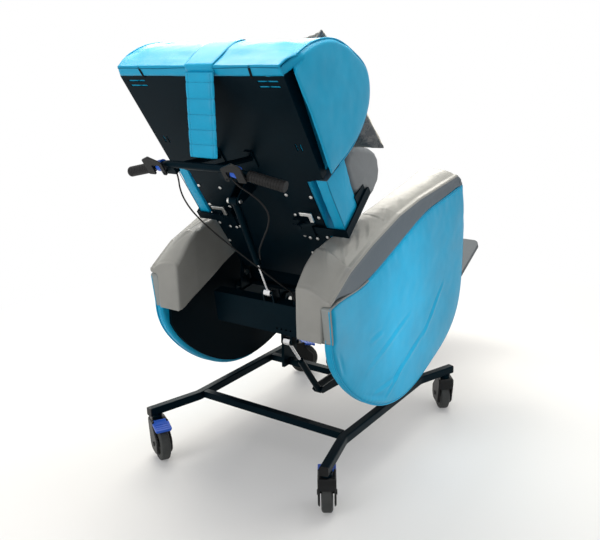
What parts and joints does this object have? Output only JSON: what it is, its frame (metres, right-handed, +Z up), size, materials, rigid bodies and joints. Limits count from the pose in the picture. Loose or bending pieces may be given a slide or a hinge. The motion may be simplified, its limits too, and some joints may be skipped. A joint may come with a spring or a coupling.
{
  "type": "care chair",
  "caption": "tilting, reclining care chair on castors with a padded winged back, side supports, leg rest, push bar and release levers, in blue and grey",
  "frame": {"origin": "on the floor under the middle of the chair's bounding box", "axes": "+X towards the occupant's left, +Y towards the rear, +Z up"},
  "size_m": [0.7922, 1.616, 1.4511],
  "materials": {
    "black_metal": "matte powder coat",
    "bright_steel": "zinc plated",
    "rod_chrome": "polished",
    "blue_vinyl": "soft coated fabric, light grain",
    "grey_vinyl": "soft coated fabric, light grain",
    "silver_velvet": "crushed velvet",
    "black_plastic": "moulded",
    "blue_plastic": "moulded",
    "black_board": "black laminate",
    "grip_rubber": "ribbed",
    "wheel_tyre": "smooth tread"
  },
  "bodies": {
    "base": {"base_rails": "black_metal", "rail_end_caps": "black_plastic", "rear_crossbar": "black_metal", "front_crossbar": "black_metal", "castor_sockets": "black_metal", "tilt_posts": "black_metal"},
    "seat": {"seat_frame": "black_metal", "seat_rear_beam": "black_metal", "seat_board": "black_board", "seat_cushion": "grey_vinyl", "left_arm_panel": "blue_vinyl", "right_arm_panel": "blue_vinyl", "left_arm_pad": "grey_vinyl", "right_arm_pad": "grey_vinyl", "side_boards": "black_board", "arm_brackets": "black_metal", "hinge_bolts": "bright_steel"},
    "back": {"back_shell": "black_metal", "shell_screws": "bright_steel", "back_cushion": "blue_vinyl", "head_cushion": "blue_vinyl", "left_head_wing": "blue_vinyl", "right_head_wing": "blue_vinyl", "head_pillow": "grey_vinyl", "pillow_band": "blue_vinyl", "loose_pillow": "silver_velvet", "push_bar": "black_metal", "bar_grips": "grip_rubber", "bar_collars": "blue_plastic", "lateral_receivers": "black_metal", "left_release_cable": "grip_rubber", "right_release_cable": "grip_rubber"},
    "strap": {"weight_strap": "blue_vinyl"},
    "leg_rest": {"leg_frame": "black_metal", "leg_pad": "grey_vinyl"},
    "foot": {"foot_board": "black_board"},
    "left_lever": {"left_release_lever": "black_plastic"},
    "right_lever": {"right_release_lever": "black_plastic"},
    "left_lateral": {"left_lateral_arm": "black_metal", "left_lateral_pad": "grey_vinyl"},
    "right_lateral": {"right_lateral_arm": "black_metal", "right_lateral_pad": "grey_vinyl"},
    "left_clamp": {"left_lateral_clamp": "bright_steel"},
    "right_clamp": {"right_lateral_clamp": "bright_steel"},
    "tilt_tube": {"tilt_spring_tube": "black_metal"},
    "tilt_rod": {"tilt_spring_rod": "rod_chrome"},
    "recline_tube": {"recline_spring_tube": "black_metal"},
    "recline_rod": {"recline_spring_rod": "rod_chrome"},
    "rear_left_castor": {"rear_left_fork": "black_plastic"},
    "rear_left_roller": {"rear_left_wheel": "wheel_tyre"},
    "rear_left_brake": {"rear_left_brake_pedal": "blue_plastic"},
    "rear_right_castor": {"rear_right_fork": "black_plastic"},
    "rear_right_roller": {"rear_right_wheel": "wheel_tyre"},
    "rear_right_brake": {"rear_right_brake_pedal": "blue_plastic"},
    "front_left_castor": {"front_left_fork": "black_plastic"},
    "front_left_roller": {"front_left_wheel": "wheel_tyre"},
    "front_left_brake": {"front_left_brake_pedal": "blue_plastic"},
    "front_right_castor": {"front_right_fork": "black_plastic"},
    "front_right_roller": {"front_right_wheel": "wheel_tyre"},
    "front_right_brake": {"front_right_brake_pedal": "blue_plastic"}
  },
  "joints": [
    {"name": "tilt", "type": "hinge", "parent": "base", "child": "seat", "pos_m": [0, 0.05023, 0.44], "axis": [-1, 0, 0], "range_deg": [-8, 12]},
    {"name": "recline", "type": "hinge", "parent": "seat", "child": "back", "pos_m": [0, 0.30023, 0.616], "axis": [-1, 0, 0], "range_deg": [-20, 1], "deforming": ["left_release_cable"]},
    {"name": "leg_raise", "type": "hinge", "parent": "seat", "child": "leg_rest", "pos_m": [0, -0.25477, 0.596], "axis": [-1, 0, 0], "range_deg": [-46, 30]},
    {"name": "foot_fold", "type": "hinge", "parent": "leg_rest", "child": "foot", "pos_m": [0, -0.53664, 0.40587], "axis": [-1, 0, 0], "range_deg": [-10, 35]},
    {"name": "rear_left_swivel", "type": "hinge", "parent": "base", "child": "rear_left_castor", "pos_m": [0.36, 0.65823, 0.15], "axis": [0, 0, 1], "continuous": true},
    {"name": "rear_left_roll", "type": "hinge", "parent": "rear_left_castor", "child": "rear_left_roller", "pos_m": [0.32709, 0.67723, 0.0625], "axis": [0.5, 0.866, 0], "continuous": true},
    {"name": "rear_left_brake_press", "type": "hinge", "parent": "rear_left_castor", "child": "rear_left_brake", "pos_m": [0.33402, 0.67323, 0.14], "axis": [-0.5, -0.866, 0], "range_deg": [0, 5]},
    {"name": "rear_right_swivel", "type": "hinge", "parent": "base", "child": "rear_right_castor", "pos_m": [-0.36, 0.65823, 0.15], "axis": [0, 0, 1], "continuous": true},
    {"name": "rear_right_roll", "type": "hinge", "parent": "rear_right_castor", "child": "rear_right_roller", "pos_m": [-0.3393, 0.62636, 0.0625], "axis": [-0.8387, -0.5446, 0], "continuous": true},
    {"name": "rear_right_brake_press", "type": "hinge", "parent": "rear_right_castor", "child": "rear_right_brake", "pos_m": [-0.34366, 0.63307, 0.14], "axis": [0.8387, 0.5446, 0], "range_deg": [0, 5]},
    {"name": "front_left_swivel", "type": "hinge", "parent": "base", "child": "front_left_castor", "pos_m": [0.36, -0.19577, 0.15], "axis": [0, 0, 1], "continuous": true},
    {"name": "front_left_roll", "type": "hinge", "parent": "front_left_castor", "child": "front_left_roller", "pos_m": [0.33609, -0.2253, 0.0625], "axis": [-0.7771, 0.6293, 0], "continuous": true},
    {"name": "front_left_brake_press", "type": "hinge", "parent": "front_left_castor", "child": "front_left_brake", "pos_m": [0.34112, -0.21908, 0.14], "axis": [0.7771, -0.6293, 0], "range_deg": [0, 5]},
    {"name": "front_right_swivel", "type": "hinge", "parent": "base", "child": "front_right_castor", "pos_m": [-0.36, -0.19577, 0.15], "axis": [0, 0, 1], "continuous": true},
    {"name": "front_right_roll", "type": "hinge", "parent": "front_right_castor", "child": "front_right_roller", "pos_m": [-0.33609, -0.2253, 0.0625], "axis": [-0.7771, -0.6293, 0], "continuous": true},
    {"name": "front_right_brake_press", "type": "hinge", "parent": "front_right_castor", "child": "front_right_brake", "pos_m": [-0.34112, -0.21908, 0.14], "axis": [0.7771, 0.6293, 0], "range_deg": [0, 5]},
    {"name": "left_release", "type": "hinge", "parent": "back", "child": "left_lever", "pos_m": [0.11956, 0.77431, 1.05258], "axis": [0, 0.8406, -0.5417], "range_deg": [0, 10], "stiffness_Nm_per_rad": 0.3, "springref_deg": -5.73},
    {"name": "right_release", "type": "hinge", "parent": "back", "child": "right_lever", "pos_m": [-0.11956, 0.77431, 1.05258], "axis": [0, -0.8406, 0.5417], "range_deg": [0, 10], "stiffness_Nm_per_rad": 0.3, "springref_deg": -5.73},
    {"name": "left_lateral_slide", "type": "slide", "parent": "back", "child": "left_lateral", "axis": [1, 0, 0], "range_m": [0, 0.04]},
    {"name": "left_clamp_turn", "type": "hinge", "parent": "back", "child": "left_clamp", "pos_m": [0.158, 0.4732, 0.87333], "axis": [0, 0.8406, -0.5417], "range_deg": [-50, 0]},
    {"name": "right_lateral_slide", "type": "slide", "parent": "back", "child": "right_lateral", "axis": [-1, 0, 0], "range_m": [-0.01, 0.022]},
    {"name": "right_clamp_turn", "type": "hinge", "parent": "back", "child": "right_clamp", "pos_m": [-0.158, 0.4732, 0.87333], "axis": [0, -0.8406, 0.5417], "range_deg": [-50, 0]},
    {"name": "strap_swing", "type": "hinge", "parent": "back", "child": "strap", "pos_m": [-0.03, 0.76409, 1.33947], "axis": [1, 0, 0], "range_deg": [-30, 45]},
    {"name": "tilt_spring_turn", "type": "hinge", "parent": "base", "child": "tilt_tube", "pos_m": [-0.056, 0.24323, 0.192], "axis": [-1, 0, 0], "range_deg": [-8, 12]},
    {"name": "tilt_spring_stroke", "type": "slide", "parent": "tilt_tube", "child": "tilt_rod", "axis": [0, 0.5874, 0.8093], "range_m": [-0.07, 0.05]},
    {"name": "recline_spring_turn", "type": "hinge", "parent": "back", "child": "recline_tube", "pos_m": [0, 0.60323, 0.95], "axis": [-1, 0, 0], "range_deg": [-2.5, 0.5]},
    {"name": "recline_spring_stroke", "type": "slide", "parent": "recline_tube", "child": "recline_rod", "axis": [0, -0.4124, -0.911], "range_m": [-0.006, 0.055]}
  ],
  "couplings": [
    {"joint": "tilt_spring_turn", "follows": "tilt", "ratio": 0.7303},
    {"joint": "tilt_spring_stroke", "follows": "tilt", "m_per_rad": -0.30409},
    {"joint": "recline_spring_turn", "follows": "recline", "ratio": 0.0959},
    {"joint": "recline_spring_stroke", "follows": "recline", "m_per_rad": -0.14357}
  ]
}
